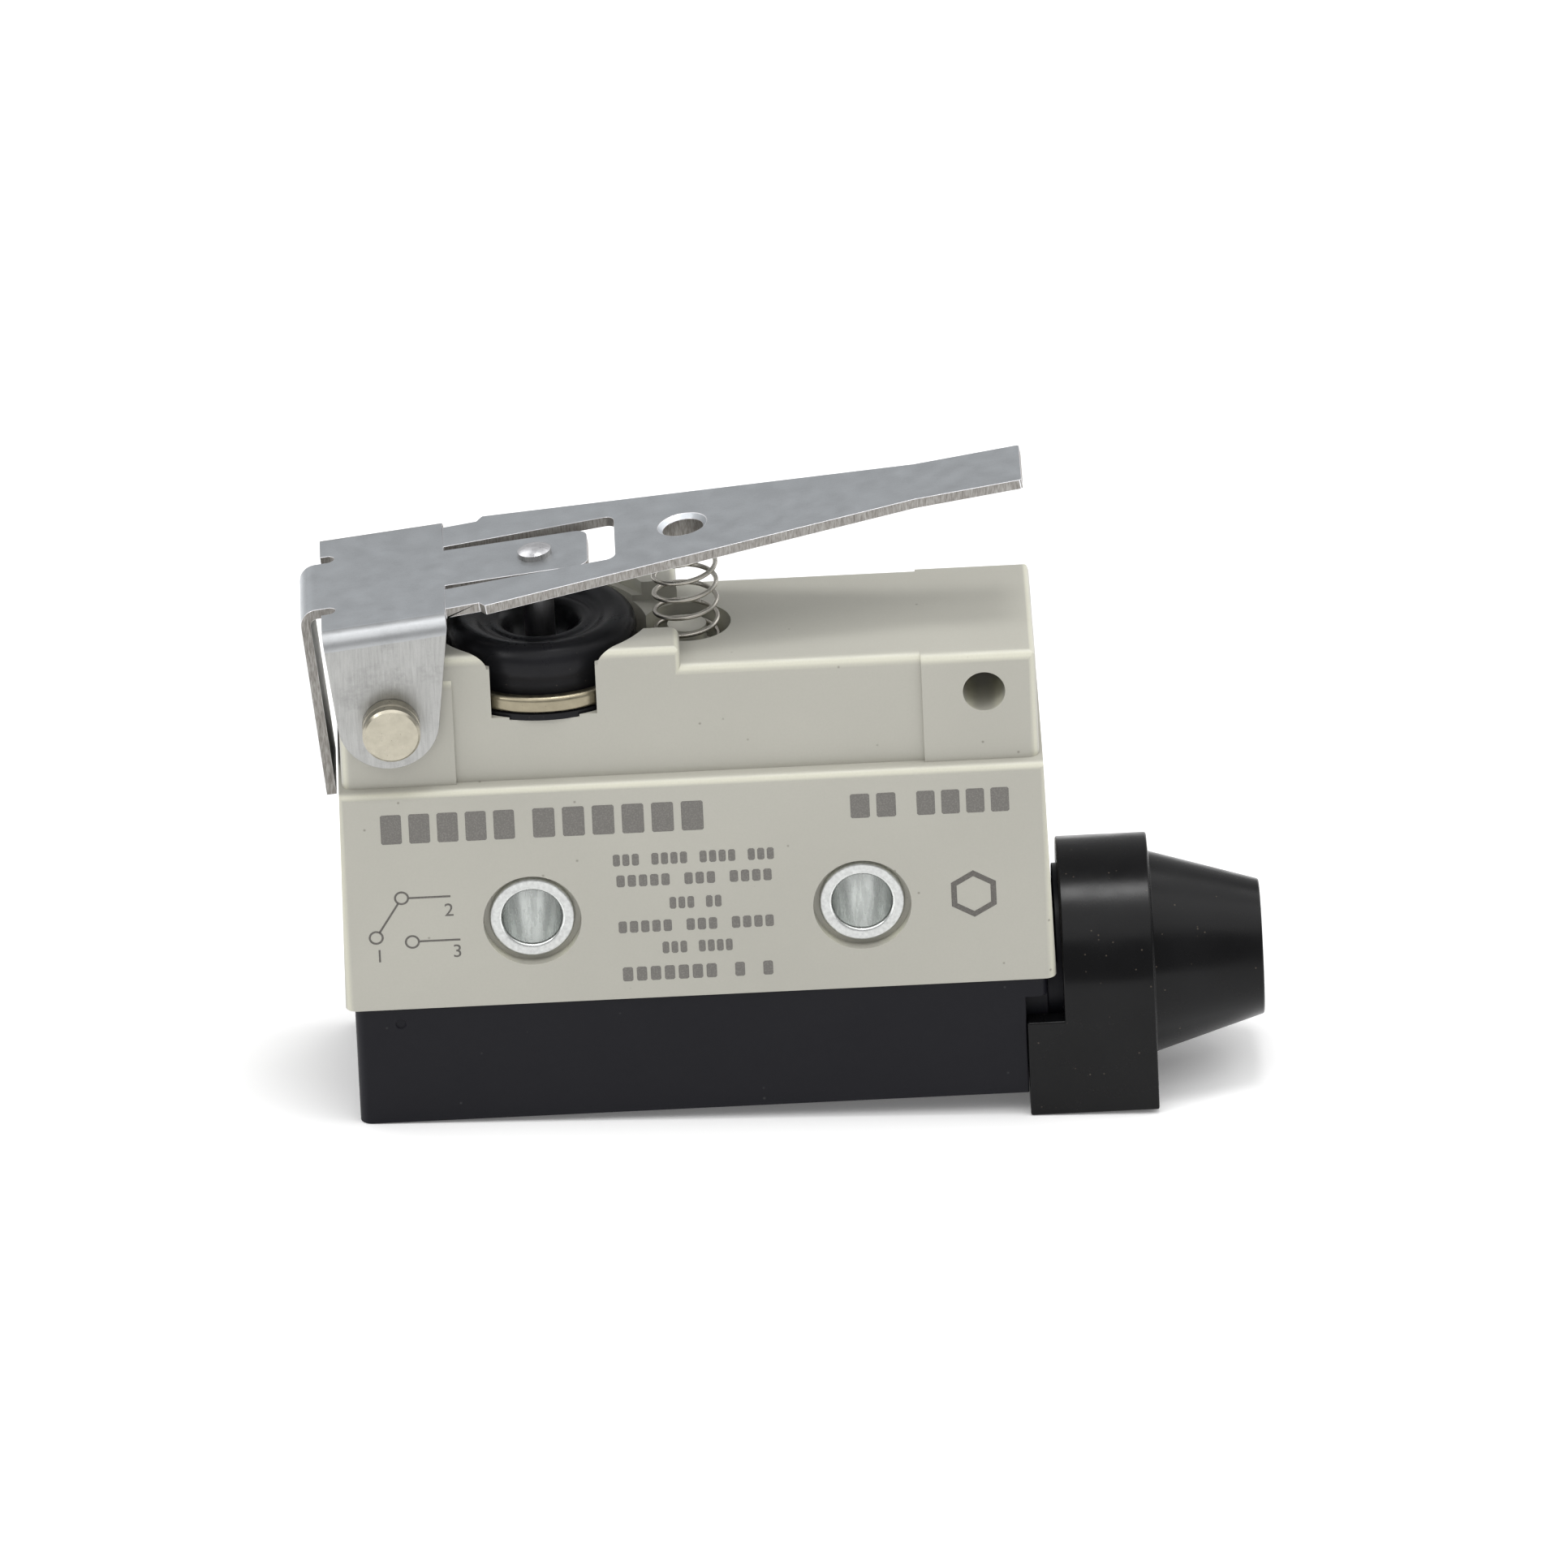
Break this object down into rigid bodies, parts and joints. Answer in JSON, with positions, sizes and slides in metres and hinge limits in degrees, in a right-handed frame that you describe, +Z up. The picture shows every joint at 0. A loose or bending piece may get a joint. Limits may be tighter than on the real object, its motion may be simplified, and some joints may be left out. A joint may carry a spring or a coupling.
{
  "type": "limit switch",
  "caption": "Compact enclosed limit switch with a stamped hinge lever, sealed plunger, outer return spring, black lower case and rubber cable cap.",
  "frame": {"origin": "centre of the two mounting holes, at half the case's depth", "axes": "+X along the case towards the cable cap, +Y towards the rear mounting face, +Z up towards the lever"},
  "size_m": [0.0728, 0.0204, 0.0515],
  "materials": {
    "case_plastic": "satin",
    "base_plastic": "satin",
    "cap_rubber": "satin",
    "boot_rubber": "matte",
    "zinc_steel": "satin",
    "stainless": "satin",
    "spring_steel": "satin",
    "nickel": "satin",
    "brass": "satin",
    "silver": "satin",
    "phenolic": "matte"
  },
  "bodies": {
    "case": {"housing": "case_plastic", "terminal_cover": "base_plastic", "cable_cap": "cap_rubber", "mounting_bushings": "zinc_steel", "pivot_pin": "nickel", "return_spring": "spring_steel", "plunger_boot": "boot_rubber", "boot_retainer_ring": "nickel", "boot_gasket": "boot_rubber", "guide_bush": "brass", "contact_carrier": "phenolic", "common_terminal": "brass", "normally_closed_terminal": "brass", "normally_open_terminal": "brass", "fixed_contacts": "silver", "terminal_screws": "nickel", "terminal_clamps": "nickel", "housing_gasket": "boot_rubber", "cover_screws": "nickel"},
    "lever_arm": {"lever": "stainless", "lever_rivet": "nickel"},
    "plunger": {"plunger_stem": "stainless", "plunger_foot": "phenolic"},
    "contact_blade": {"moving_blade": "brass", "snap_spring": "brass", "moving_contact": "silver"}
  },
  "joints": [
    {"name": "lever_swing", "type": "hinge", "parent": "case", "child": "lever_arm", "pos_m": [-0.02275, 0, 0.0172], "axis": [0, 1, 0], "range_deg": [0, 10], "stiffness_Nm_per_rad": 0.02, "springref_deg": -20.05, "deforming": ["return_spring"]},
    {"name": "plunger_slide", "type": "slide", "parent": "case", "child": "plunger", "axis": [0, 0, -1], "range_m": [0, 0.0022], "deforming": ["plunger_boot"]},
    {"name": "blade_snap", "type": "hinge", "parent": "case", "child": "contact_blade", "pos_m": [-0.0186, 0, 0.00905], "axis": [0, 1, 0], "range_deg": [0, 2.4], "deforming": ["snap_spring"]}
  ],
  "couplings": [
    {"joint": "plunger_slide", "follows": "lever_swing", "m_per_rad": 0.0125},
    {"joint": "blade_snap", "follows": "lever_swing", "ratio": 0.24}
  ]
}
